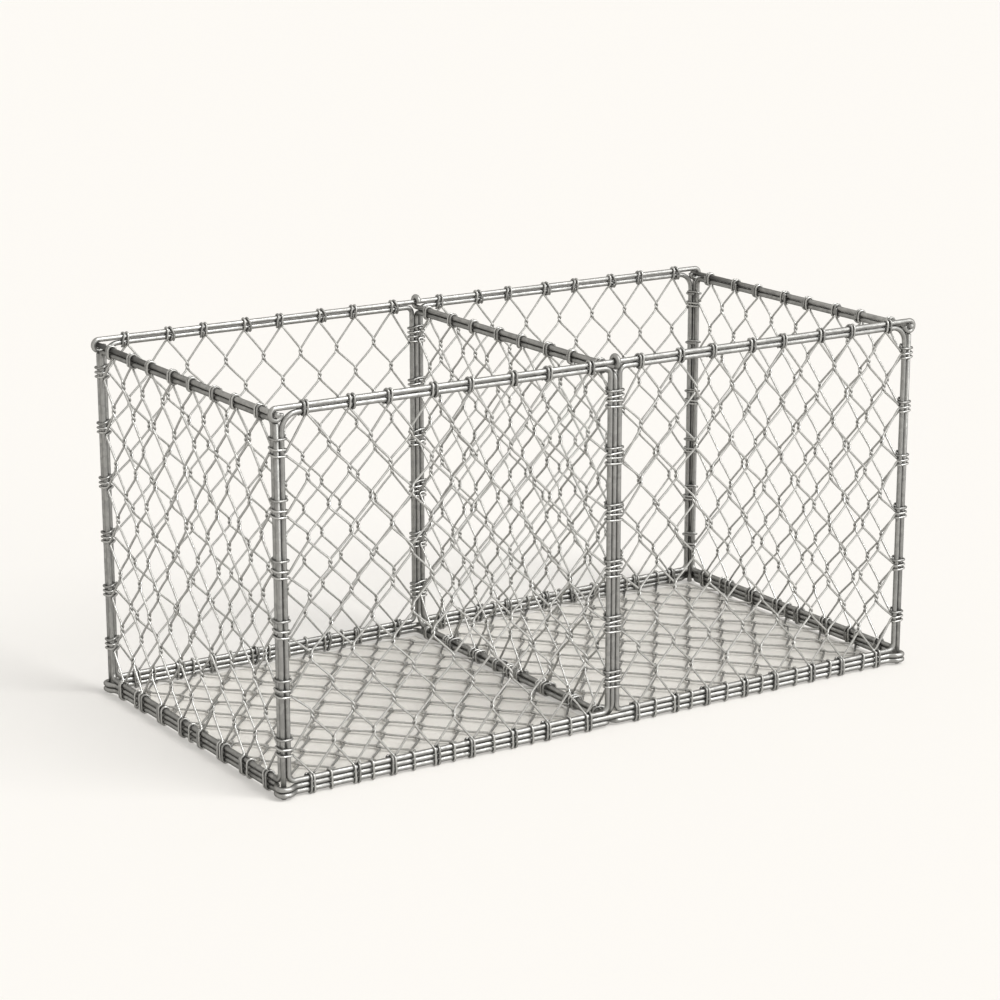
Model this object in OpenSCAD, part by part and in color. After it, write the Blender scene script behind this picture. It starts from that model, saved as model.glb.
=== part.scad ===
// Open two-bay gabion basket: nine mesh panels, each woven on its own bent rod frame,
// stood up against the corner posts, hooked together along the rim and laced at every meeting edge.
// Millimetres. The length runs along X, the front faces -Y, Z is up.

/* [Basket size] */
// Length over the end rods
basket_l = 1000; // [600:10:2000]
// Depth over the front and back rods
basket_w = 500; // [300:10:1000]
// Height from the ground to the top of the front rim rod
basket_h = 500; // [300:10:1000]

/* [Wire and rod] */
// Thickness of the frame and rim rods
rod_d = 7; // [5:0.1:9]
// Thickness of the woven mesh wire
wire_d = 3.2; // [2:0.1:4]
// Thickness of the lacing wire
ring_d = 3.2; // [2:0.1:4]
// Play between rods and wires that lie against each other
slack = 0.3; // [0.2:0.05:0.6]

/* [Woven mesh] */
// Mesh openings across one panel
cells = 8; // [4:1:12]
// Mesh openings up one panel
rows = 6; // [3:1:10]
// Length of one twist between two openings
twist_l = 15; // [10:0.5:24]
// Width of one twist
twist_d = 5.2; // [3:0.1:7]
// Depth that a strand runs into the end of a twist
strand_bite = 1; // [0.5:0.1:2]
// Offset of the turns of the front and back panels, up or down the posts that they share
turn_step = 7; // [6:0.1:9]
// Offset of the turns where the two bases meet
seam_step = 4; // [3.5:0.1:5]

/* [Frames and rim] */
// Bend radius of the frames, to the middle of the rod
bend_r = 22; // [20:1:40]
// Sweep of the eyes at the ends of the rim rods, in degrees
eye_sweep = 270; // [180:90:270]
// Length of an end rim rod past the eye it runs through
rod_tail = 4; // [2:0.5:10]

/* [Lacing] */
// Distance of a lacing ring from the mesh turn beside it, along a rail
ring_gap = 6.2; // [5:0.1:8]
// Height of a lacing ring over a row of the mesh, along a post
ring_rise = 13; // [12.5:0.5:20]

/* [Base liner] */
// Space between the liner and the lacing around it
liner_gap = 0.7; // [0.3:0.1:3]

/* [Hidden] */
// spacing of two rods that are laced tight side by side
pair = rod_d + slack;
// height of a triangle of three laced rods
trio_h = pair*sin(60);
// radius of a mesh turn and of a lacing ring round a rod, to the middle of the wire
turn_r = (rod_d + wire_d)/2 + slack;
bind_r = (rod_d + ring_d)/2 + slack;
// radius of the steps beside a post that a rod goes round, and their length from the post
hook_r = pair/2;
hook_l = pair + hook_r;
// the planes of the end frames and of the front and back frames
end_x = (basket_l - rod_d)/2;
side_y = (basket_w - rod_d)/2;
// heights of the rod centres, from the ground up
base_z = bind_r + ring_d/2;
sill_z = base_z + pair;
wall_z = sill_z + pair;
mid_z = base_z + trio_h;
side_rim_z = basket_h - rod_d/2;
side_top_z = side_rim_z - pair;
end_rim_z = side_rim_z - pair;
end_top_z = end_rim_z - pair;
// top of a corner post, under the eye that closes the rim above it
post_h = end_rim_z - pair - rod_d/2 - slack;
// widths and heights of the panels, between rod centres
side_w = end_x - 2*pair;
side_h = side_top_z - wall_z;
end_w = 2*(side_y - pair);
end_h = end_top_z - wall_z;
mid_w = 2*side_y;
mid_h = end_top_z - mid_z;
base_w = end_x - pair/2;
base_h = 2*side_y;
// rise of half an opening, on the walls and on the base, and the height of the first row
wall_step = (side_h - 2*turn_r)/(2*rows);
base_step = (base_h - 2*turn_r)/(2*rows);
row_z = wall_z + turn_r + wall_step;
// rows count half openings, from the bottom rod up to the top rod
last = 2*rows;

// The rods that a wire binds together at each edge, as the corners of the loop round them, seen along
// the edge: a panel's own rod is at [0, 0], the first number runs away from the panel and the second
// through its thickness.
rim_bundle = [[0, 0], [pair, 0]];
stack_bundle = [[0, 0], [2*pair, 0]];
corner_bundle = [[0, 0], [pair, 0], [pair, pair], [0, pair]];
end_bundle = [[0, -pair], [pair, -pair], [pair, 0], [0, 0]];
middle_bundle = [[0, -pair], [0, pair]];
valley_bundle = [[0, -pair/2], [trio_h, -pair/2], [trio_h, pair/2], [0, pair/2]];
base_bundle = [[0, -2*pair], [0, 0]];
seam_bundle = [[0, -trio_h], [pair, -trio_h], [pair, 0], [0, 0]];

// the basket is the same after half a turn about its upright axis
module turned() {
  rotate([0, 0, 180]) children();
}

// where each panel's lower corner stands; a panel is drawn upright with its width along X
module at_front_left() {
  translate([-end_x + pair, -side_y, wall_z]) children();
}

module at_front_right() {
  translate([pair, -side_y, wall_z]) children();
}

module at_left_end() {
  translate([-end_x, pair - side_y, wall_z]) rotate([0, 0, 90]) children();
}

module at_middle() {
  translate([0, -side_y, mid_z]) rotate([0, 0, 90]) children();
}

module at_base_left() {
  translate([-end_x, -side_y, base_z]) rotate([-90, 0, 0]) children();
}

// the straight sides of a frame, which stop short of its left and right corners
module sides(w, h, left, right) {
  translate([0, 0, left]) cylinder(d = rod_d, h = h - 2*left);
  translate([w, 0, right]) cylinder(d = rod_d, h = h - 2*right);
  for (z = [0, h])
    translate([left, 0, z]) rotate([0, 90, 0]) cylinder(d = rod_d, h = w - left - right);
}

// one wall frame: a rod bent into a closed rectangle with round corners
module frame(w, h) {
  sides(w, h, bend_r, bend_r);
  corner(w - bend_r, h - bend_r, 0);
  corner(bend_r, h - bend_r, 90);
  corner(bend_r, bend_r, 180);
  corner(w - bend_r, bend_r, 270);
}

module corner(x, z, from) {
  translate([x, 0, z]) rotate([90, 0, 0]) bend(bend_r, from, 90);
}

// a corner of a frame that stands on a post: the rod steps outwards on both sides and goes round the post
module hook(x, z, from) {
  translate([x, 0, z]) rotate([90, 0, 0]) rotate(from) {
    bend(pair, 180, 90);
    translate([0, -pair, 0]) rotate([0, 90, 0]) cylinder(d = rod_d, h = hook_r);
    translate([hook_r, -hook_r, 0]) bend(hook_r, -90, 90);
    translate([hook_l, -hook_r, 0]) bend(hook_r, 90, 90);
    translate([-pair, 0, 0]) rotate([-90, 0, 0]) cylinder(d = rod_d, h = hook_r);
    translate([-hook_r, hook_r, 0]) bend(hook_r, 90, 90);
    translate([-hook_r, hook_l, 0]) bend(hook_r, -90, 90);
  }
}

// a rod bent through an arc in the XY plane
module bend(r, from, sweep) {
  rotate(from) rotate_extrude(angle = sweep) translate([r, 0]) circle(d = rod_d);
}

// height of a row of vertices in a panel, the lowest and highest on the turns round the rods
function row_v(j, h, first, step) = j == 0 ? turn_r : j == last ? h - turn_r : first + (j - 1)*step;

// distance from a vertex to the strands that leave its twist
function reach(j) = j == 0 || j == last ? 0 : twist_l/2 - strand_bite;

// one straight strand of mesh wire from a to b, seen flat
module strand(a, b) {
  run = b - a;
  translate(a) rotate(-atan2(run[0], run[1])) translate([-wire_d/2, 0]) square([wire_d, norm(run)]);
}

// the flat lattice of strands and twists; shift moves the pattern up by half an opening,
// and stagger moves the ends of the strands at the left and right edges up
module lattice(w, h, first, step, shift, stagger) {
  pitch = (w - 2*turn_r)/cells;
  for (j = [0 : last - 1], k = [0 : cells - 1], side = [0, 1]) {
    outer_low = (j + shift) % 2;
    outer_u = turn_r + (k + side)*pitch;
    middle_u = turn_r + (k + 1/2)*pitch;
    at_edge = (k + side) % cells == 0;
    in_corner = at_edge && (outer_low == 1 && j == 0 || outer_low == 0 && j == last - 1);
    low_v = row_v(j, h, first, step) + (at_edge && outer_low == 1 ? stagger[side] : reach(j));
    high_v = row_v(j + 1, h, first, step) + (at_edge && outer_low == 0 ? stagger[side] : -reach(j + 1));
    if (!in_corner)
      strand([outer_low ? outer_u : middle_u, low_v], [outer_low ? middle_u : outer_u, high_v]);
  }
  for (j = [1 : last - 1]) {
    outer = (j + shift) % 2;
    for (k = [outer : cells - 1]) {
      u = turn_r + (outer ? k : k + 1/2)*pitch;
      translate([u - twist_d/2, row_v(j, h, first, step) - twist_l/2]) square([twist_d, twist_l]);
    }
  }
}

// one closed loop of wire round a bundle of rods that run along Z; its child is the section of the wire
module loop(bundle, r) {
  n = len(bundle);
  for (i = [0 : n - 1]) {
    come = bundle[i] - bundle[(i + n - 1) % n];
    go = bundle[(i + 1) % n] - bundle[i];
    from = atan2(come[1], come[0]);
    to = atan2(go[1], go[0]);
    translate([bundle[i][0], bundle[i][1], 0]) {
      rotate(from - 90) rotate_extrude(angle = (to - from + 720) % 360) translate([r, 0]) children();
      rotate(to - 90) translate([r, 0, 0]) rotate([-90, 0, 0]) linear_extrude(height = norm(go)) children();
    }
  }
}

module turn(bundle) {
  loop(bundle, turn_r) square(wire_d, center = true);
}

module ring(bundle) {
  loop(bundle, bind_r) circle(d = ring_d);
}

// a panel of woven mesh with the turns that bind it to the rods along its four edges; the bundles
// are given in the order low, high, left, right, and the offsets of the turns in the order left, right
module mesh(w, h, first, step, shift, bundles, stagger) {
  pitch = (w - 2*turn_r)/cells;
  rotate([90, 0, 0]) linear_extrude(height = wire_d, center = true)
    lattice(w, h, first, step, shift, stagger);
  for (k = [shift : cells - 1]) {
    u = turn_r + (k + (1 - shift)/2)*pitch;
    translate([u, 0, 0]) rotate([0, 90, 0]) turn(bundles[0]);
    translate([u, 0, h]) rotate([0, -90, 0]) turn(bundles[1]);
  }
  for (j = [1 + shift : 2 : last - 1]) {
    v = row_v(j, h, first, step);
    translate([0, 0, v + stagger[0]]) rotate([0, 180, 0]) turn(bundles[2]);
    translate([w, 0, v + stagger[1]]) turn(bundles[3]);
  }
}

module wall_mesh(w, h, z, bundles, stagger) {
  mesh(w, h, row_z - z, wall_step, 0, bundles, stagger);
}

module base_mesh() {
  mesh(base_w, base_h, turn_r + base_step, base_step, 1,
    [base_bundle, base_bundle, base_bundle, seam_bundle], [0, seam_step]);
}

// a rim rod along X whose ends are bent down into eyes round the rods below it
module eye_rod(l) {
  translate([-l/2, 0, 0]) rotate([0, 90, 0]) cylinder(d = rod_d, h = l);
  translate([-l/2, 0, -pair]) rotate([90, 0, 0]) bend(pair, 90, eye_sweep);
  translate([l/2, 0, -pair]) rotate([90, 0, 0]) bend(pair, 90 - eye_sweep, eye_sweep);
}

// a row of rings along the low or high edge of a panel, one beside each turn, on alternate sides
module rail_rings(w, v, tilt, bundle) {
  pitch = (w - 2*turn_r)/cells;
  for (k = [0 : cells - 1]) {
    u = turn_r + (k + 1/2)*pitch + (2*(k % 2) - 1)*ring_gap;
    translate([u, 0, v]) rotate([0, tilt, 0]) ring(bundle);
  }
}

module low_rings(w, bundle) {
  rail_rings(w, 0, 90, bundle);
}

module high_rings(w, h) {
  rail_rings(w, h, -90, rim_bundle);
}

// rings up a post, one over each row of turns
module post_rings(tilt, bundle) {
  for (j = [1 : 2 : last - 1])
    translate([0, 0, row_z - wall_z + (j - 1)*wall_step + ring_rise]) rotate([0, tilt, 0]) ring(bundle);
}

module front_left_frame() {
  color("silver") at_front_left() frame(side_w, side_h);
}

module front_right_frame() {
  color("silver") at_front_right() frame(side_w, side_h);
}

module back_left_frame() {
  turned() front_right_frame();
}

module back_right_frame() {
  turned() front_left_frame();
}

module left_end_frame() {
  color("silver") at_left_end() frame(end_w, end_h);
}

module right_end_frame() {
  turned() left_end_frame();
}

module diaphragm_frame() {
  color("silver") at_middle() frame(mid_w, mid_h);
}

module base_left_frame() {
  color("silver") at_base_left() {
    sides(base_w, base_h, hook_l, bend_r);
    hook(0, 0, 0);
    hook(0, base_h, 270);
    corner(base_w - bend_r, bend_r, 270);
    corner(base_w - bend_r, base_h - bend_r, 0);
  }
}

module base_right_frame() {
  turned() base_left_frame();
}

module front_left_mesh() {
  color("gainsboro") at_front_left() wall_mesh(side_w, side_h, wall_z,
    [stack_bundle, rim_bundle, corner_bundle, stack_bundle], [-turn_step, turn_step]);
}

module front_right_mesh() {
  color("gainsboro") at_front_right() wall_mesh(side_w, side_h, wall_z,
    [stack_bundle, rim_bundle, stack_bundle, corner_bundle], [-turn_step, turn_step]);
}

module back_left_mesh() {
  turned() front_right_mesh();
}

module back_right_mesh() {
  turned() front_left_mesh();
}

module left_end_mesh() {
  color("gainsboro") at_left_end() wall_mesh(end_w, end_h, wall_z,
    [stack_bundle, rim_bundle, end_bundle, end_bundle], [0, 0]);
}

module right_end_mesh() {
  turned() left_end_mesh();
}

module diaphragm_mesh() {
  color("gainsboro") at_middle() wall_mesh(mid_w, mid_h, mid_z,
    [valley_bundle, rim_bundle, middle_bundle, middle_bundle], [0, 0]);
}

module base_left_mesh() {
  color("gainsboro") at_base_left() base_mesh();
}

module base_right_mesh() {
  turned() base_left_mesh();
}

// a straight rod on the ground at each corner, between the front or back frame and the end frame
module corner_posts() {
  color("silver")
    for (x = [-end_x, end_x], y = [-side_y, side_y])
      translate([x, y, 0]) cylinder(d = rod_d, h = post_h);
}

// one rod bent round the whole basket and its posts, between the base frames and the walls
module bottom_rim_rod() {
  w = 2*end_x;
  h = 2*side_y;
  color("lightgray") translate([-end_x, -side_y, sill_z]) rotate([-90, 0, 0]) {
    sides(w, h, hook_l, hook_l);
    hook(0, 0, 0);
    hook(w, 0, 90);
    hook(w, h, 180);
    hook(0, h, 270);
  }
}

module front_rim_rod() {
  color("lightgray") translate([0, -side_y, side_rim_z]) eye_rod(2*end_x);
}

module back_rim_rod() {
  turned() front_rim_rod();
}

module left_rim_rod() {
  tail_y = side_y + rod_d/2 + rod_tail;
  color("lightgray") translate([-end_x, -tail_y, end_rim_z])
    rotate([-90, 0, 0]) cylinder(d = rod_d, h = 2*tail_y);
}

module right_rim_rod() {
  turned() left_rim_rod();
}

module diaphragm_rim_rod() {
  color("lightgray") translate([0, 0, end_rim_z]) rotate([180, 0, 90]) eye_rod(2*side_y);
}

module front_top_lacing() {
  color("darkgray") {
    at_front_left() high_rings(side_w, side_h);
    at_front_right() high_rings(side_w, side_h);
  }
}

module back_top_lacing() {
  turned() front_top_lacing();
}

module left_top_lacing() {
  color("darkgray") at_left_end() high_rings(end_w, end_h);
}

module right_top_lacing() {
  turned() left_top_lacing();
}

module diaphragm_top_lacing() {
  color("darkgray") at_middle() high_rings(mid_w, mid_h);
}

module front_bottom_lacing() {
  color("darkgray") {
    at_front_left() low_rings(side_w, stack_bundle);
    at_front_right() low_rings(side_w, stack_bundle);
  }
}

module back_bottom_lacing() {
  turned() front_bottom_lacing();
}

module left_bottom_lacing() {
  color("darkgray") at_left_end() low_rings(end_w, stack_bundle);
}

module right_bottom_lacing() {
  turned() left_bottom_lacing();
}

module diaphragm_bottom_lacing() {
  color("darkgray") at_middle() low_rings(mid_w, valley_bundle);
}

module front_left_post_lacing() {
  color("darkgray") at_front_left() post_rings(180, corner_bundle);
}

module front_right_post_lacing() {
  color("darkgray") at_front_right() translate([side_w, 0, 0]) post_rings(0, corner_bundle);
}

module back_left_post_lacing() {
  turned() front_right_post_lacing();
}

module back_right_post_lacing() {
  turned() front_left_post_lacing();
}

module front_mid_post_lacing() {
  color("darkgray") at_front_left() translate([side_w, 0, 0]) post_rings(0, stack_bundle);
}

module back_mid_post_lacing() {
  turned() front_mid_post_lacing();
}

// a felt sheet on the ground inside the lacing of one bay, under the base mesh
module left_liner() {
  rim = bind_r + ring_d/2 + liner_gap;
  color("dimgray") translate([-end_x + rim, -side_y + rim, 0])
    cube([base_w - 2*rim, base_h - 2*rim, base_z - wire_d/2 - slack]);
}

module right_liner() {
  turned() left_liner();
}

front_left_frame();
front_right_frame();
back_left_frame();
back_right_frame();
left_end_frame();
right_end_frame();
diaphragm_frame();
base_left_frame();
base_right_frame();
front_left_mesh();
front_right_mesh();
back_left_mesh();
back_right_mesh();
left_end_mesh();
right_end_mesh();
diaphragm_mesh();
base_left_mesh();
base_right_mesh();
corner_posts();
bottom_rim_rod();
front_rim_rod();
back_rim_rod();
left_rim_rod();
right_rim_rod();
diaphragm_rim_rod();
front_top_lacing();
back_top_lacing();
left_top_lacing();
right_top_lacing();
diaphragm_top_lacing();
front_bottom_lacing();
back_bottom_lacing();
left_bottom_lacing();
right_bottom_lacing();
diaphragm_bottom_lacing();
front_left_post_lacing();
front_right_post_lacing();
back_left_post_lacing();
back_right_post_lacing();
front_mid_post_lacing();
back_mid_post_lacing();
left_liner();
right_liner();
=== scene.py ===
import math
import random

import bpy
import numpy as np
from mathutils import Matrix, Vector


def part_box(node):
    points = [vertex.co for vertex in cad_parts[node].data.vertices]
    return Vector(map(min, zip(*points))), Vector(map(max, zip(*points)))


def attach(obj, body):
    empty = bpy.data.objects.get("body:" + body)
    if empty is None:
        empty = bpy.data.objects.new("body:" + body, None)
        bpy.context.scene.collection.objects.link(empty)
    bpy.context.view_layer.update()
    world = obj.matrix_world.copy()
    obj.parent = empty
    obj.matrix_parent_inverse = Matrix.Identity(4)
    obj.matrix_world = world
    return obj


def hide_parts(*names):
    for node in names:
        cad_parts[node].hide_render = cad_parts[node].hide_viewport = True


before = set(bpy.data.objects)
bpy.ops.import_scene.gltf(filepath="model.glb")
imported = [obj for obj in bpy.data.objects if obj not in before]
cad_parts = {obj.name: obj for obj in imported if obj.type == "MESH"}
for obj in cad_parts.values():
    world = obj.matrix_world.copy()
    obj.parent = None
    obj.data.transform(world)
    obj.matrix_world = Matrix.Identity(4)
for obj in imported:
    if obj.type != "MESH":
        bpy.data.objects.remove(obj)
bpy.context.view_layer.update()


# Panel frames: nine rectangles of galvanised steel rod, each cold-bent from one length round a former
# and butt-welded where its ends meet, about halfway along one of its level rods. The two base frames
# are bent outwards at the corners of the basket, so that they go round the foot of the corner post.
mm = 0.001
panels = {
    "front_left": ((1, 0, 0), (0, 0, 1)),
    "front_right": ((1, 0, 0), (0, 0, 1)),
    "back_left": ((-1, 0, 0), (0, 0, 1)),
    "back_right": ((-1, 0, 0), (0, 0, 1)),
    "left_end": ((0, 1, 0), (0, 0, 1)),
    "right_end": ((0, -1, 0), (0, 0, 1)),
    "diaphragm": ((0, 1, 0), (0, 0, 1)),
    "base_left": ((1, 0, 0), (0, 1, 0)),
    "base_right": ((-1, 0, 0), (0, -1, 0)),
}
frame_low, frame_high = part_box("front_left_frame")
rod_d = frame_high.y - frame_low.y
rod_r = rod_d / 2
play = 0.3 * mm
pair = rod_d + play
hook_start = 3.6 * mm
hook_reach = 19 * mm
tight_bend = 9 * mm
wide_bend = 22 * mm
hook_steps = 9
bend_steps = 10
rod_sides = 16
weld_share = 0.53
weld_swell = 0.13
weld_reach = 2.4 * mm
weld_fade = 2
weld_steps = 9
chamfer_share = 0.18
chamfer_narrow_share = 0.8
cut_angle = 50
lay_shift = 0.37


def rod_plane(node, across, up, hooks):
    """A rectangle of rod: its lower corner, its ways across, up and through, its spans, at rod centres."""
    across, up = np.array(across, float), np.array(up, float)
    low, high = (np.array(corner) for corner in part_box(node))
    left, right = (rod_r + pair * hook for hook in hooks)
    length = abs(across @ (high - low))
    height = abs(up @ (high - low)) - 2 * max(left, right)
    corner = (low + high - across * (length - 2 * left) - up * height) / 2
    return corner, across, up, np.cross(up, across), length - left - right, height


def corner_hooks(name):
    """Whether the left and right corners of a panel's frame go round posts."""
    return (1, 0) if name.startswith("base") else (0, 0)


def panel_plane(name):
    return rod_plane(name + "_frame", *panels[name], corner_hooks(name))


def arc(centre, radius, start, stop, steps):
    """Points of an arc in a plane, from one angle to another in degrees."""
    turn = np.radians(np.linspace(start, stop, steps + 1))
    return np.stack([centre[0] + radius * np.cos(turn), centre[1] + radius * np.sin(turn)], axis=1)


def draw_wire(points, radius, sides, closed=False):
    """Points and faces of a round wire along a path, and its lay: where a point is round and along it."""
    points = np.asarray(points, float)
    radii = np.broadcast_to(np.asarray(radius, float), len(points)).copy()
    if not closed:
        # a sheared end keeps a small chamfer
        first = (points[0] - points[1]) / np.linalg.norm(points[0] - points[1])
        final = (points[-1] - points[-2]) / np.linalg.norm(points[-1] - points[-2])
        start = points[0] + first * radii[0] * chamfer_share
        stop = points[-1] + final * radii[-1] * chamfer_share
        points = np.vstack([start, points, stop])
        narrow = radii[[0, -1]] * chamfer_narrow_share
        radii = np.concatenate([narrow[:1], radii, narrow[1:]])
    ahead = np.roll(points, -1, axis=0) - points
    if closed:
        tangent = ahead + np.roll(ahead, 1, axis=0)
    else:
        ahead[-1] = ahead[-2]
        tangent = ahead + np.vstack([ahead[:1], ahead[:-1]])
    tangent /= np.linalg.norm(tangent, axis=1)[:, None]
    count = len(points)
    normal = np.empty_like(points)
    side = np.cross(tangent[0], np.eye(3)[np.argmin(np.abs(tangent[0]))])
    for i in range(count + 1):
        way = tangent[i % count]
        side = side - way * (side @ way)
        side = side / math.sqrt(side @ side)
        if i < count:
            normal[i] = side
    binormal = np.cross(tangent, normal)
    turn = np.tile(np.arange(sides) * 2 * math.pi / sides, (count, 1))
    if closed:
        # what the rings have turned by the end is taken back evenly, so that the last meets the first
        slip = math.atan2(side @ binormal[0], side @ normal[0])
        turn -= slip * np.arange(count)[:, None] / count
    around = np.cos(turn)[:, :, None] * normal[:, None] + np.sin(turn)[:, :, None] * binormal[:, None]
    verts = points[:, None] + around * radii[:, None, None]
    run = np.concatenate([[0], np.cumsum(np.linalg.norm(np.diff(points, axis=0), axis=1))])
    lay = np.empty((count, sides, 3))
    lay[:, :, 0] = np.cos(turn) * radii[:, None]
    lay[:, :, 1] = np.sin(turn) * radii[:, None]
    lay[:, :, 2] = run[:, None]
    here = np.arange(count if closed else count - 1)[:, None]
    there = (here + 1) % count
    step = np.arange(sides)[None]
    beside = (step + 1) % sides
    quads = np.stack([here * sides + step, here * sides + beside,
                      there * sides + beside, there * sides + step], axis=2)
    faces = quads.reshape(-1, 4).tolist()
    if not closed:
        faces.append(list(range(sides - 1, -1, -1)))
        faces.append([(count - 1) * sides + i for i in range(sides)])
    return verts.reshape(-1, 3), faces, lay.reshape(-1, 3)


def wire_piece(name, wires, finish):
    """One object from several drawn wires, smooth along the wire and sharp at its cut ends."""
    verts, faces, lays = [], [], []
    count = 0
    for i, (points, ring_faces, lay) in enumerate(wires):
        verts.append(points)
        lays.append(lay + [0, 0, lay_shift * i])
        faces.extend([[corner + count for corner in face] for face in ring_faces])
        count += len(points)
    mesh = bpy.data.meshes.new(name)
    mesh.from_pydata(np.concatenate(verts).tolist(), [], faces)
    mesh.polygons.foreach_set("use_smooth", np.ones(len(faces), bool))
    mesh.set_sharp_from_angle(angle=math.radians(cut_angle))
    mesh.attributes.new("lay", "FLOAT_VECTOR", "POINT").data.foreach_set(
        "vector", np.concatenate(lays).astype(np.float32).ravel())
    mesh.materials.append(finish)
    piece = bpy.data.objects.new(name, mesh)
    bpy.context.collection.objects.link(piece)
    return piece


def add_node(tree, kind, settings=None, inputs=None):
    """A shader node with settings, and inputs by name or number: a value, or another node's output."""
    made = tree.nodes.new("ShaderNode" + kind)
    for key, value in (settings or {}).items():
        setattr(made, key, value)
    for key, value in (inputs or {}).items():
        if isinstance(value, bpy.types.NodeSocket):
            tree.links.new(value, made.inputs[key])
        else:
            made.inputs[key].default_value = value
    return made


def mix_colors(tree, share, first, second):
    """A blend of two colours; a Mix node keeps its colours on inputs 6 and 7."""
    return add_node(tree, "Mix", {"data_type": "RGBA"}, {0: share, 6: first, 7: second}).outputs[2]


def zinc_coat_group():
    """Hot-dip zinc: crystal spangle, lines left by the drawing die, dull oxide and fine grain."""
    die_stretch = (1, 1, 0.04)
    speck_share = 0.35
    group = bpy.data.node_groups.new("zinc_coat", "ShaderNodeTree")
    ports = group.interface
    for label in ("Spangle Size", "Line Size", "Smooth", "Coarse"):
        ports.new_socket(label, in_out="INPUT", socket_type="NodeSocketFloat")
    for label in ("Bright", "Dull", "Oxide"):
        ports.new_socket(label, in_out="INPUT", socket_type="NodeSocketColor")
    ports.new_socket("Color", in_out="OUTPUT", socket_type="NodeSocketColor")
    for label in ("Roughness", "Height"):
        ports.new_socket(label, in_out="OUTPUT", socket_type="NodeSocketFloat")
    given = group.nodes.new("NodeGroupInput").outputs
    place = add_node(group, "TexCoord").outputs["Object"]
    lay = add_node(group, "Attribute", {"attribute_name": "lay"}).outputs["Vector"]
    drawn = add_node(group, "VectorMath", {"operation": "MULTIPLY"}, {
        0: lay, 1: die_stretch}).outputs["Vector"]
    spangle = add_node(group, "TexVoronoi", {}, {"Vector": place, "Scale": given["Spangle Size"]})
    flake = add_node(group, "SeparateColor", {}, {"Color": spangle.outputs["Color"]}).outputs["Red"]
    lines = add_node(group, "TexNoise", {}, {
        "Vector": drawn, "Scale": given["Line Size"], "Detail": 3.0, "Roughness": 0.6}).outputs["Fac"]
    cloud = add_node(group, "TexNoise", {}, {
        "Vector": place, "Scale": 38.0, "Detail": 5.0, "Roughness": 0.62}).outputs["Fac"]
    speck = add_node(group, "TexNoise", {}, {"Vector": place, "Scale": 900.0, "Detail": 2.0}).outputs["Fac"]
    tone = add_node(group, "MapRange", {}, {"Value": flake, "To Min": 0.1, "To Max": 0.75}).outputs["Result"]
    line_tone = add_node(group, "MapRange", {}, {
        "Value": lines, "From Min": 0.3, "From Max": 0.7, "To Min": -0.22, "To Max": 0.22}).outputs["Result"]
    both = add_node(group, "Math", {"operation": "ADD", "use_clamp": True}, {
        0: tone, 1: line_tone}).outputs["Value"]
    metal = mix_colors(group, both, given["Bright"], given["Dull"])
    oxide = add_node(group, "MapRange", {}, {
        "Value": cloud, "From Min": 0.52, "From Max": 0.68, "To Min": 0.0, "To Max": 0.7}).outputs["Result"]
    coat = mix_colors(group, oxide, metal, given["Oxide"])
    gloss = add_node(group, "Math", {"operation": "ADD", "use_clamp": True}, {
        0: both, 1: oxide}).outputs["Value"]
    rough = add_node(group, "MapRange", {}, {
        "Value": gloss, "To Min": given["Smooth"], "To Max": given["Coarse"]}).outputs["Result"]
    grain = add_node(group, "Math", {"operation": "MULTIPLY_ADD"}, {
        0: speck, 1: speck_share, 2: lines}).outputs["Value"]
    out = group.nodes.new("NodeGroupOutput").inputs
    group.links.new(coat, out["Color"])
    group.links.new(rough, out["Roughness"])
    group.links.new(grain, out["Height"])
    return group


zinc_coat = zinc_coat_group()
zinc_metallic = 0.9
zinc_edge = (0.11, 0.108, 0.104, 1)


def zinc_finish(name, grain, **coat):
    """A galvanised steel finish with its own tones, spangle and die lines."""
    finish = bpy.data.materials.new(name)
    finish.use_nodes = True
    tree = finish.node_tree
    shader = tree.nodes["Principled BSDF"]
    shader.inputs["Metallic"].default_value = zinc_metallic
    shader.inputs["Specular Tint"].default_value = zinc_edge
    surface = tree.nodes.new("ShaderNodeGroup")
    surface.node_tree = zinc_coat
    for label, value in coat.items():
        surface.inputs[label.replace("_", " ").title()].default_value = value
    bump = add_node(tree, "Bump", {}, {
        "Strength": 0.35, "Distance": grain, "Height": surface.outputs["Height"]})
    tree.links.new(surface.outputs["Color"], shader.inputs["Base Color"])
    tree.links.new(surface.outputs["Roughness"], shader.inputs["Roughness"])
    tree.links.new(bump.outputs["Normal"], shader.inputs["Normal"])
    return finish


frame_zinc = zinc_finish(
    "frame_rod_zinc", grain=0.10 * mm, spangle_size=170.0, line_size=1500.0, smooth=0.30, coarse=0.48,
    bright=(0.39, 0.39, 0.378, 1), dull=(0.25, 0.25, 0.243, 1), oxide=(0.34, 0.337, 0.326, 1))


def ease(share):
    """A smooth step from 0 to 1."""
    return share ** 2 * (3 - 2 * share)


def post_hook():
    """A corner of rod round a post at (0, 0), which comes along x and leaves along y."""
    share = np.linspace(0, 1, hook_steps)
    step = pair * ease(share)
    run = hook_reach + share * (hook_start - hook_reach)
    return np.vstack([
        np.stack([-run, -step], axis=1),
        arc((0, 0), pair, -90, 0, bend_steps),
        np.stack([step, run], axis=1)[::-1],
    ])


# corners that keep clear of a rim rod or of its eye are bent wide, and all others tight
wide_corners = {
    "front_left": ("high left",), "front_right": ("high right",),
    "back_left": ("high right",), "back_right": ("high left",),
    "diaphragm": ("low left", "low right"),
}


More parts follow.
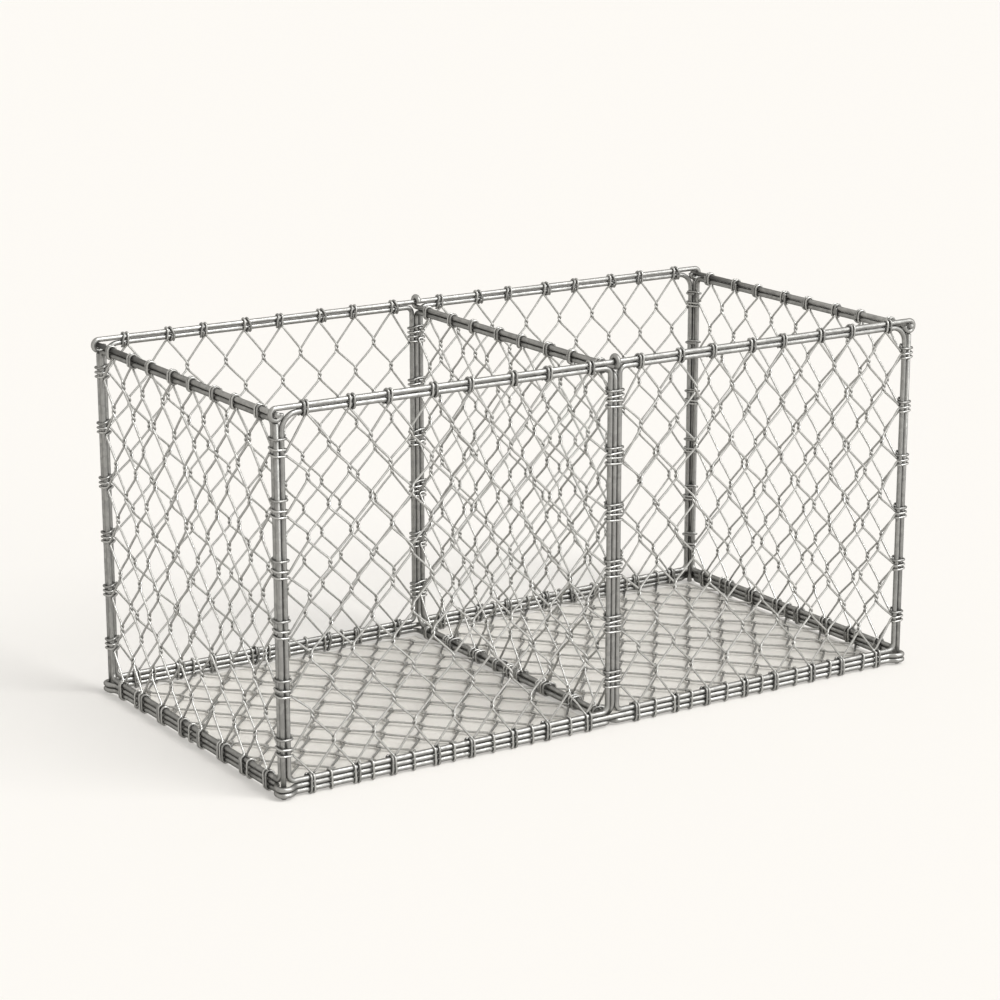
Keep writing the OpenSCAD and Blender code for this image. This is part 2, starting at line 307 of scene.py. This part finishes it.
def bent_frame(plane, hooks, wide=()):
    """A rod from its weld round all four corners of a rectangle and back to the weld."""
    corner, across, up, _, width, height = plane
    left, right = hooks
    swell = np.linspace(-weld_fade, weld_fade, weld_steps)
    parts = [np.stack([weld_share * width + swell * weld_reach, np.zeros(weld_steps)], axis=1)]
    ends = {"low right": (width, 0, right), "high right": (width, height, right),
            "high left": (0, height, left), "low left": (0, 0, left)}
    for i, (place, (x, y, hook)) in enumerate(ends.items()):
        reach = wide_bend if place in wide else tight_bend
        bend = post_hook() if hook else arc((-reach, reach), reach, -90, 0, bend_steps)
        cosine, sine = round(math.cos(i * math.pi / 2)), round(math.sin(i * math.pi / 2))
        parts.append((x, y) + bend @ np.array([[cosine, sine], [-sine, cosine]]))
    flat = np.vstack(parts)
    radii = np.full(len(flat), rod_r)
    radii[:weld_steps] *= 1 + weld_swell * np.exp(-swell ** 2)
    return draw_wire(corner + flat[:, :1] * across + flat[:, 1:] * up, radii, rod_sides, closed=True)


for name in panels:
    bent = bent_frame(panel_plane(name), corner_hooks(name), wide_corners.get(name, ()))
    rod = wire_piece(name + "_rod", [bent], frame_zinc)
    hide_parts(name + "_frame")
    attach(rod, "root")


# Woven mesh: galvanised wire in the double-twist weave, sixteen wires to a panel. Neighbours are twisted
# one full turn about each other, and at an edge each wire goes once round all the rods that meet there.
wire_d = 3.0 * mm
wire_r = wire_d / 2
trio_h = pair * math.sin(math.radians(60))
turn_lift = 1.6 * mm
turn_r = rod_r + turn_lift + play
cells = 8
rows = 6
last = 2 * rows
twist_half = 6.4 * mm
twist_r = 1.5 * mm
twist_angles = (0, *range(60, 301, 30), 360)
wire_sides = 8
loop_step = 20
turn_drift = 1.75 * mm
edge_step = 7 * mm
seam_step = 4 * mm
bend_cut = 3 * mm
bend_cut_share = 0.9
bend_shares = (0, 1 / 3, 2 / 3, 1)
touching = 0.01 * mm
stray = 0.8 * mm
wire_zinc = zinc_finish(
    "mesh_wire_zinc", grain=0.06 * mm, spangle_size=320.0, line_size=2600.0, smooth=0.24, coarse=0.42,
    bright=(0.55, 0.55, 0.534, 1), dull=(0.39, 0.39, 0.378, 1), oxide=(0.49, 0.485, 0.47, 1))

# the rods bound together at an edge, as the corners of the loop round them: the panel's own rod is at
# (0, 0), the first number runs away from the panel and the second through it
rim_bundle = ((0, 0), (pair, 0))
stack_bundle = ((0, 0), (2 * pair, 0))
corner_bundle = ((0, 0), (pair, 0), (pair, pair))
end_bundle = ((0, 0), (pair, -pair), (pair, 0))
middle_bundle = ((0, -pair), (0, pair))
valley_bundle = ((0, -pair / 2), (trio_h, -pair / 2), (trio_h, pair / 2), (0, pair / 2))
base_bundle = ((0, -2 * pair), (0, 0))
seam_bundle = ((0, -trio_h), (pair, -trio_h), (pair, 0), (0, 0))
end_edges = {"low": stack_bundle, "high": rim_bundle, "left": end_bundle, "right": end_bundle}
corner_first = {"low": stack_bundle, "high": rim_bundle, "left": corner_bundle, "right": stack_bundle}
corner_second = {"low": stack_bundle, "high": rim_bundle, "left": stack_bundle, "right": corner_bundle}
base_edges = {"low": base_bundle, "high": base_bundle, "left": base_bundle, "right": seam_bundle}
middle_edges = {"low": valley_bundle, "high": rim_bundle, "left": middle_bundle, "right": middle_bundle}
edge_bundles = {
    "front_left": corner_first, "front_right": corner_second, "back_left": corner_second,
    "back_right": corner_first, "left_end": end_edges, "right_end": end_edges, "diaphragm": middle_edges,
    "base_left": base_edges, "base_right": base_edges,
}


def bundle_line(bundle, reach):
    """A line drawn tight round a bundle, once round from the side that faces the panel, and its run."""
    bends = []
    for i, rod in enumerate(bundle):
        came = np.subtract(rod, bundle[i - 1])
        goes = np.subtract(bundle[(i + 1) % len(bundle)], rod)
        start = math.degrees(math.atan2(came[1], came[0])) - 90
        sweep = (math.degrees(math.atan2(goes[1], goes[0])) - 90 - start) % 360
        bends.append(arc(rod, reach, start, start + sweep, round(sweep / loop_step)))
    line = np.vstack(bends)
    facing = np.array([-reach, 0])
    line = line[np.linalg.norm(line - facing, axis=1) > touching]
    ahead = np.roll(line, -1, axis=0) - line
    share = np.clip(((facing - line) * ahead).sum(axis=1) / (ahead ** 2).sum(axis=1), 0, 1)
    miss = np.linalg.norm(line + share[:, None] * ahead - facing, axis=1)
    line = np.vstack([facing, np.roll(line, -np.argmin(miss) - 1, axis=0), facing])
    return line, np.concatenate([[0], np.cumsum(np.linalg.norm(np.diff(line, axis=0), axis=1))])


def on_edge(edge, width, height, line, along):
    """Points round an edge of a panel, as across, up and through it."""
    away, through = line[:, 0], line[:, 1]
    if edge == "low":
        return np.stack([along, -away, through], axis=1)
    if edge == "high":
        return np.stack([along, height + away, through], axis=1)
    if edge == "left":
        return np.stack([-away, along, through], axis=1)
    return np.stack([width + away, along, through], axis=1)


def edge_turn(edge, bundle, centre, width, height):
    """One turn of mesh wire round the rods of an edge, between the two strands that leave it."""
    line, run = bundle_line(bundle, turn_r)
    free = (run > bend_cut) & (run < run[-1] - bend_cut)
    free[[0, -1]] = True
    along = centre + turn_drift * (2 * run / run[-1] - 1)
    return on_edge(edge, width, height, line[free], along[free])


def twist_turn(centre, hand, sign):
    """One wire's part of a twist: a full turn about the middle of the pair, from below to above."""
    turn = np.radians(twist_angles)
    return np.stack([
        centre[0] + sign * twist_r * np.cos(turn),
        centre[1] + twist_half * (turn / math.pi - 1),
        centre[2] + sign * hand * twist_r * np.sin(turn),
    ], axis=1)


def join_parts(parts, closed, draw):
    """One path through twists and turns, with slightly uneven strands that are eased into each of them."""
    points, corners = [], []
    for i, part in enumerate(parts):
        points.extend(part)
        follower = parts[(i + 1) % len(parts)]
        if closed or i < len(parts) - 1:
            corners.append(len(points) - 1)
            points.append((part[-1] + follower[0]) / 2 + [draw.uniform(-stray, stray) / 2 for _ in range(3)])
            corners.append(len(points) if i < len(parts) - 1 else 0)
    eased = []
    for i, point in enumerate(points):
        if i not in corners:
            eased.append(point)
            continue
        before = points[i - 1] - point
        after = points[(i + 1) % len(points)] - point
        start = point + before * min(bend_cut_share, bend_cut / np.linalg.norm(before))
        stop = point + after * min(bend_cut_share, bend_cut / np.linalg.norm(after))
        for share in bend_shares:
            eased.append(start * (1 - share) ** 2 + point * 2 * share * (1 - share) + stop * share ** 2)
    return np.array(eased)


def placed(plane, path):
    """Points given as across, up and through a panel, set where the panel stands."""
    corner, across, up, through = plane[:4]
    return corner + path[:, :1] * across + path[:, 1:2] * up + path[:, 2:] * through


front_corner, _, _, _, _, front_height = panel_plane("front_left")
wall_step = (front_height - 2 * turn_r) / last
row_z = front_corner[2] + turn_r + wall_step


def woven_wires(name, seed):
    """The wires of one panel, in pairs that are joined by their turns round the low and high edges."""
    draw = random.Random(seed)
    plane = panel_plane(name)
    corner, _, _, _, width, height = plane
    on_base = name.startswith("base")
    step = (height - 2 * turn_r) / last if on_base else wall_step
    first = turn_r + step if on_base else row_z - corner[2]
    stagger = {"left": 0, "right": seam_step if on_base else 0}
    if name.startswith(("front", "back")):
        stagger = {"left": -edge_step, "right": edge_step}
    bundles = edge_bundles[name]
    pitch = (width - 2 * turn_r) / cells
    strays = {(j, c): np.array([draw.uniform(-stray, stray) for _ in range(3)])
              for j in range(1, last) for c in range(2 * cells + 1)}

    def rising_parts(cell, side):
        """The twists and edge turns of one wire, from the bottom up."""
        parts = []
        for j in range(1, last):
            outer = (j + on_base) % 2
            column = 2 * (cell + side) if outer else 2 * cell + 1
            level = first + (j - 1) * step
            if column % (2 * cells) == 0:
                edge = "right" if column else "left"
                parts.append(edge_turn(edge, bundles[edge], level + stagger[edge], width, height))
            else:
                sign = 1 - 2 * side if outer else 2 * side - 1
                centre = np.array([turn_r + column * pitch / 2, level, 0]) + strays[j, column]
                parts.append(twist_turn(centre, 1 - 2 * (j // 2 % 2), sign))
        return parts

    paths = []
    for cell in range(cells - on_base):
        left, right = ((cell, 1), (cell + 1, 0)) if on_base else ((cell, 0), (cell, 1))
        place = turn_r + (cell + (1 if on_base else 0.5)) * pitch
        low = edge_turn("low", bundles["low"], place, width, height)
        high = edge_turn("high", bundles["high"], place, width, height)
        parts = [low, *rising_parts(*right), high[::-1], *(part[::-1] for part in rising_parts(*left)[::-1])]
        paths.append((join_parts(parts, True, draw), True))
    if on_base:
        for cell, side in ((0, 0), (cells - 1, 1)):
            paths.append((join_parts(rising_parts(cell, side), False, draw), False))
    return [draw_wire(placed(plane, path), wire_r, wire_sides, closed) for path, closed in paths]


for seed, name in enumerate(panels):
    weave = wire_piece(name + "_weave", woven_wires(name, seed), wire_zinc)
    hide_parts(name + "_mesh")
    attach(weave, "root")


# Corner posts: four straight lengths of the frame rod, cropped square and stood on the ground at the
# corners, where the lacing binds them between the frames of two walls.
post_low, post_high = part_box("corner_posts")
rod_chamfer = chamfer_share * rod_r
posts = []
for x in (post_low.x + rod_r, post_high.x - rod_r):
    for y in (post_low.y + rod_r, post_high.y - rod_r):
        ends = [(x, y, post_low.z + rod_chamfer), (x, y, post_high.z - rod_chamfer)]
        posts.append(draw_wire(ends, rod_r, rod_sides))
post_rods = wire_piece("corner_posts_cut", posts, frame_zinc)
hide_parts("corner_posts")
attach(post_rods, "root")


# Bottom rim rod: one rod bent and welded into a ring round the whole basket and its corner posts, which
# lies between the rods of the base and those of the walls and is laced to both.
rim_zinc = zinc_finish(
    "rim_rod_zinc", grain=0.10 * mm, spangle_size=150.0, line_size=1500.0, smooth=0.28, coarse=0.48,
    bright=(0.41, 0.41, 0.398, 1), dull=(0.27, 0.27, 0.262, 1), oxide=(0.36, 0.357, 0.345, 1))
sill_plane = rod_plane("bottom_rim_rod", (1, 0, 0), (0, 1, 0), (1, 1))
sill = wire_piece("bottom_rim_rod_bent", [bent_frame(sill_plane, (1, 1))], rim_zinc)
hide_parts("bottom_rim_rod")
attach(sill, "root")


# Base liners: one sheet of grey needle-punched felt to a bay, cut to the space inside the lacing and laid
# on the ground. It is loose, so it swells a little in the openings of the base mesh that lies on it.
felt_thick = 2.2 * mm
felt_swell = 1.1 * mm
felt_step = 5 * mm
felt_ravel = 0.9 * mm
felt_rim_share = 0.55
felt_cloud_share = 0.45
felt_prick_share = 0.5
side_ripples = (310, 97)
end_ripples = (290, 113)
swell_ripples = (17, 23)
felt_finish = bpy.data.materials.new("liner_felt")
felt_finish.use_nodes = True
felt_tree = felt_finish.node_tree
felt_shader = felt_tree.nodes["Principled BSDF"]
felt_shader.inputs["Sheen Weight"].default_value = 0.25
felt_shader.inputs["Sheen Roughness"].default_value = 0.6
felt_shader.inputs["Roughness"].default_value = 0.95
felt_place = add_node(felt_tree, "TexCoord").outputs["Object"]
felt_fibre = add_node(felt_tree, "TexNoise", {}, {
    "Vector": felt_place, "Scale": 900.0, "Detail": 6.0, "Roughness": 0.7, "Distortion": 1.2}).outputs["Fac"]
felt_cloud = add_node(felt_tree, "TexNoise", {}, {
    "Vector": felt_place, "Scale": 24.0, "Detail": 4.0}).outputs["Fac"]
felt_prick = add_node(felt_tree, "TexVoronoi", {}, {
    "Vector": felt_place, "Scale": 420.0}).outputs["Distance"]
felt_mix = add_node(felt_tree, "Math", {"operation": "MULTIPLY_ADD"}, {
    0: felt_cloud, 1: felt_cloud_share, 2: felt_fibre}).outputs["Value"]
felt_ramp = add_node(felt_tree, "ValToRGB", {}, {"Fac": felt_mix})
felt_ramp.color_ramp.elements[0].position = 0.45
felt_ramp.color_ramp.elements[0].color = (0.74, 0.709, 0.650, 1)
felt_ramp.color_ramp.elements[1].position = 1.0
felt_ramp.color_ramp.elements[1].color = (0.93, 0.895, 0.828, 1)
felt_height = add_node(felt_tree, "Math", {"operation": "MULTIPLY_ADD"}, {
    0: felt_prick, 1: felt_prick_share, 2: felt_fibre}).outputs["Value"]
felt_bump = add_node(felt_tree, "Bump", {}, {"Strength": 0.5, "Distance": 0.5 * mm, "Height": felt_height})
felt_tree.links.new(felt_ramp.outputs["Color"], felt_shader.inputs["Base Color"])
felt_tree.links.new(felt_bump.outputs["Normal"], felt_shader.inputs["Normal"])


def felt_sheet(name, low, high, seed):
    """A felt sheet with a soft swollen top, a flat underside and slightly ravelled edges."""
    draw = random.Random(seed)
    columns = round((high.x - low.x) / felt_step)
    lines = round((high.y - low.y) / felt_step)
    phases = [draw.uniform(0, 2 * math.pi) for _ in range(6)]

    def ripple(first, second, phase):
        """Two waves at the given angles, one times the other, from -1 to 1."""
        return math.sin(first + phases[phase]) * math.sin(second + phases[phase + 1])

    verts, faces = [], []
    for layer in (0, 1):
        for i in range(columns + 1):
            for j in range(lines + 1):
                across, along = i / columns, j / lines
                x = low.x + across * (high.x - low.x)
                y = low.y + along * (high.y - low.y)
                rim = min(i, columns - i, j, lines - j)
                if rim == 0:
                    sides = ripple(side_ripples[0] * y, side_ripples[1] * y, 0)
                    x += (0.5 - across) * felt_ravel * (1 + sides)
                    ends = ripple(end_ripples[0] * x, end_ripples[1] * x, 2)
                    y += (0.5 - along) * felt_ravel * (1 + ends)
                swell = math.sin(math.pi * cells * across) ** 2 * math.sin(math.pi * rows * along) ** 2
                loose = 0.5 + 0.5 * ripple(swell_ripples[0] * x, swell_ripples[1] * y, 4)
                edge = felt_rim_share if rim == 0 else 1
                z = low.z + (edge * (felt_thick + felt_swell * swell * loose) if layer else 0)
                verts.append((x, y, z))
    stride = lines + 1
    top = (columns + 1) * stride
    for i in range(columns):
        for j in range(lines):
            here = i * stride + j
            above = top + here
            faces.append((here, here + 1, here + stride + 1, here + stride))
            faces.append((above, above + stride, above + stride + 1, above + 1))
    border = [i * stride for i in range(columns)]
    border += [columns * stride + j for j in range(lines)]
    border += [(columns - i) * stride + lines for i in range(columns)]
    border += [lines - j for j in range(lines)]
    for here, there in zip(border, border[1:] + border[:1]):
        faces.append((here, there, top + there, top + here))
    mesh = bpy.data.meshes.new(name)
    mesh.from_pydata(verts, [], faces)
    mesh.polygons.foreach_set("use_smooth", np.ones(len(faces), bool))
    mesh.materials.append(felt_finish)
    piece = bpy.data.objects.new(name, mesh)
    bpy.context.collection.objects.link(piece)
    return piece


for seed, node in enumerate(("left_liner", "right_liner")):
    low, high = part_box(node)
    felt = felt_sheet(node + "_felt", low, high, seed)
    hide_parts(node)
    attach(felt, "root")


# Top rim rods: straight lengths of the same rod along the top edges. Those of the front and back are bent
# down at both ends into eyes round the end rods, and that of the diaphragm is bent up round the other two.
eye_sweep = 270
eye_steps = 27
# which way the ends are bent into eyes: -1 is down, 1 is up, and 0 is a rod with plain cut ends
rim_eyes = {
    "front_rim_rod": -1, "back_rim_rod": -1, "diaphragm_rim_rod": 1, "left_rim_rod": 0, "right_rim_rod": 0,
}


def rim_path(node, eye):
    """The path of a rim rod in its own box, with an eye bent up or down at each end where it has them."""
    low, high = (np.array(corner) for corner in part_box(node))
    along = np.eye(3)[np.argmax(high - low)]
    reach = along @ (high - low) / 2
    centre = (low + high) / 2
    if eye == 0:
        return np.array([centre - along * (reach - rod_chamfer), centre + along * (reach - rod_chamfer)])
    centre[2] = high[2] - rod_r if eye < 0 else low[2] + rod_r
    half = reach - pair - rod_r
    right = arc((half, -pair), pair, 90, 90 - eye_sweep, eye_steps)
    left = arc((-half, -pair), pair, 90 + eye_sweep, 90, eye_steps)
    flat = np.vstack([left, right])
    return centre + flat[:, :1] * along - flat[:, 1:] * np.array([0, 0, eye])


for node, eye in rim_eyes.items():
    drawn = draw_wire(rim_path(node, eye), rod_r, rod_sides)
    rod = wire_piece(node + ("_bent" if eye else "_cut"), [drawn], rim_zinc)
    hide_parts(node)
    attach(rod, "root")


# Lacing: short lengths of galvanised tie wire, closed with pliers round the rods that meet at an edge, with
# the ends side by side and nipped off on the side that faces into the basket.
tie_d = 3.2 * mm
tie_r = tie_d / 2
tie_sides = 8
tie_gap = 5.4 * mm
tie_rise = 13 * mm
tie_turns = 1.16
tie_play = 0.15 * mm
tie_pitch = tie_d + tie_play
tie_steps = 26
tie_lift = 0.6 * mm
tie_lift_share = 0.4
tie_start_share = 0.2
tie_start_stray = 0.04
tie_cross_share = 0.75
tie_seed = 7
bind_r = rod_r + tie_r + play
tie_zinc = zinc_finish(
    "tie_wire_zinc", grain=0.06 * mm, spangle_size=300.0, line_size=2400.0, smooth=0.3, coarse=0.5,
    bright=(0.39, 0.39, 0.378, 1), dull=(0.25, 0.25, 0.243, 1), oxide=(0.34, 0.337, 0.326, 1))


def tie(name, edge, centre, way, draw):
    """One tie round the rods of a panel's edge; way is the way in which its turns follow each other."""
    plane = panel_plane(name)
    corner, _, _, through, width, height = plane
    line, run = bundle_line(edge_bundles[name][edge], bind_r)
    middle = line[:-1].mean(axis=0)
    start = 1 - tie_start_share if through @ corner < 0 else tie_start_share
    start += draw.uniform(-tie_start_stray, tie_start_stray)
    shares = start + np.linspace(0, tie_turns, round(tie_steps * tie_turns))
    flat = np.stack([np.interp(shares % 1 * run[-1], run, line[:, i]) for i in (0, 1)], axis=1)
    lift = np.zeros(len(flat))
    lift[[0, -1]] = 1
    lift[[1, -2]] = tie_lift_share
    flat += lift[:, None] * tie_lift * (flat - middle) / np.linalg.norm(flat - middle, axis=1)[:, None]
    shift = ease(np.clip((shares - start - tie_cross_share) / (1 - tie_cross_share), 0, 1))
    path = on_edge(edge, width, height, flat, centre + way * tie_pitch * shift)
    return draw_wire(placed(plane, path), tie_r, tie_sides)


def rail_ties(name, edge, draw):
    """Ties along a level edge of a panel, one beside each turn of mesh wire, on alternate sides of it."""
    width = panel_plane(name)[4]
    pitch = (width - 2 * turn_r) / cells
    ways = [2 * (k % 2) - 1 for k in range(cells)]
    places = [turn_r + (k + 0.5) * pitch + way * tie_gap for k, way in enumerate(ways)]
    return [tie(name, edge, place, way, draw) for place, way in zip(places, ways)]


def post_ties(name, edge, draw):
    """Ties up an upright edge of a panel, one over each row of turns."""
    first = row_z - panel_plane(name)[0][2] + tie_rise
    return [tie(name, edge, first + (j - 1) * wall_step, 1, draw) for j in range(1, last, 2)]


rail_panels = {
    "front": ("front_left", "front_right"), "back": ("back_left", "back_right"),
    "left": ("left_end",), "right": ("right_end",), "diaphragm": ("diaphragm",),
}
post_edges = {
    "front_left": ("front_left", "left"), "front_right": ("front_right", "right"),
    "back_left": ("back_left", "right"), "back_right": ("back_right", "left"),
    "front_mid": ("front_left", "right"), "back_mid": ("back_right", "right"),
}
tie_draw = random.Random(tie_seed)
laced = {}
for rail, names in rail_panels.items():
    laced[rail + "_top_lacing"] = [wire for name in names for wire in rail_ties(name, "high", tie_draw)]
    laced[rail + "_bottom_lacing"] = [wire for name in names for wire in rail_ties(name, "low", tie_draw)]
for post, (name, edge) in post_edges.items():
    laced[post + "_post_lacing"] = post_ties(name, edge, tie_draw)
for node, wires in laced.items():
    ties = wire_piece(node + "_ties", wires, tie_zinc)
    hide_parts(node)
    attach(ties, "root")


# Studio: a sheet of pale paper that runs out of sight into a pale surround, with one broad lamp high in
# front on the right and a wide soft one low on the right. To the camera and in metal both look pale, and
# on everything else they throw less light than that, so that the shadows stay.
floor_reach = 40.0
paper = (0.962, 0.935, 0.890, 1)
paper_bounce = (0.24, 0.232, 0.22, 1)
paper_lift = 0.35
surround_low = 0.07
surround_high = 0.66
floor_mesh = bpy.data.meshes.new("paper_floor")
floor_mesh.from_pydata([(-floor_reach, -floor_reach, 0), (floor_reach, -floor_reach, 0),
                        (floor_reach, floor_reach, 0), (-floor_reach, floor_reach, 0)], [], [(0, 1, 2, 3)])
floor = bpy.data.objects.new("paper_floor", floor_mesh)
bpy.context.collection.objects.link(floor)
floor_finish = bpy.data.materials.new("floor_paper")
floor_finish.use_nodes = True
floor_tree = floor_finish.node_tree
floor_shader = floor_tree.nodes["Principled BSDF"]
floor_shader.inputs["Roughness"].default_value = 0.9
floor_shader.inputs["Specular IOR Level"].default_value = 0.0


def seen_rays(tree):
    """Whether a ray shows the studio: to the camera, mirrored in metal or through something clear."""
    rays = add_node(tree, "LightPath").outputs
    mirrored = add_node(tree, "Math", {"operation": "MAXIMUM"}, {
        0: rays["Is Glossy Ray"], 1: rays["Is Transmission Ray"]}).outputs["Value"]
    return add_node(tree, "Math", {"operation": "MAXIMUM"}, {
        0: rays["Is Camera Ray"], 1: mirrored}).outputs["Value"]


seen = seen_rays(floor_tree)
floor_tree.links.new(mix_colors(floor_tree, seen, paper_bounce, paper), floor_shader.inputs["Base Color"])
lift = add_node(floor_tree, "Math", {"operation": "MULTIPLY"}, {0: seen, 1: paper_lift}).outputs["Value"]
glow = add_node(floor_tree, "Emission", {}, {"Color": paper}).outputs["Emission"]
blend = add_node(floor_tree, "MixShader", {}, {0: lift, 1: floor_shader.outputs["BSDF"], 2: glow})
floor_tree.links.new(blend.outputs["Shader"], floor_tree.nodes["Material Output"].inputs["Surface"])
floor_mesh.materials.append(floor_finish)

world = bpy.data.worlds.new("studio")
bpy.context.scene.world = world
world.use_nodes = True
surround = world.node_tree.nodes["Background"]
facing = add_node(world.node_tree, "TexCoord").outputs["Generated"]
height = add_node(world.node_tree, "SeparateXYZ", {}, {"Vector": facing}).outputs["Z"]
level = add_node(world.node_tree, "MapRange", {}, {
    "Value": height, "To Min": surround_low, "To Max": surround_high}).outputs["Result"]
shade = add_node(world.node_tree, "CombineColor", {}, {
    "Red": level, "Green": level, "Blue": level}).outputs["Color"]
sky = mix_colors(world.node_tree, seen_rays(world.node_tree), shade, paper)
world.node_tree.links.new(sky, surround.inputs["Color"])

# the strength of each lamp, its spread in degrees and the way to it
lamps = {
    "key_lamp": (2.0, 30, (0.32, -0.55, 0.77)),
    "front_lamp": (1.5, 54, (0.55, -0.82, 0.14)),
}
for name, (energy, spread, place) in lamps.items():
    lamp = bpy.data.objects.new(name, bpy.data.lights.new(name, "SUN"))
    lamp.data.energy = energy
    lamp.data.angle = math.radians(spread)
    lamp.rotation_mode = "QUATERNION"
    lamp.rotation_quaternion = Vector(place).to_track_quat("Z", "Y")
    bpy.context.collection.objects.link(lamp)


# Camera: a long lens from the front left, looking down over the rim, fitted to the corners in the
# photograph. The shifts set the basket a little right of and below the middle of the picture, as there.
view_from = (-33.189, 14.867)
view_distance = 3.8879
look_at = Vector((0, 0, 0.25))
turn, rise = (math.radians(angle) for angle in view_from)
back = Vector((math.sin(turn) * math.cos(rise), -math.cos(turn) * math.cos(rise), math.sin(rise)))
camera = bpy.data.objects.new("camera", bpy.data.cameras.new("camera"))
camera.data.sensor_width = 36
camera.data.lens = 101.39
camera.data.shift_x = -0.0104
camera.data.shift_y = 0.0054
camera.location = look_at + back * view_distance
camera.rotation_mode = "QUATERNION"
camera.rotation_quaternion = back.to_track_quat("Z", "Y")
bpy.context.collection.objects.link(camera)
bpy.context.scene.camera = camera
bpy.context.scene.view_settings.view_transform = "Standard"
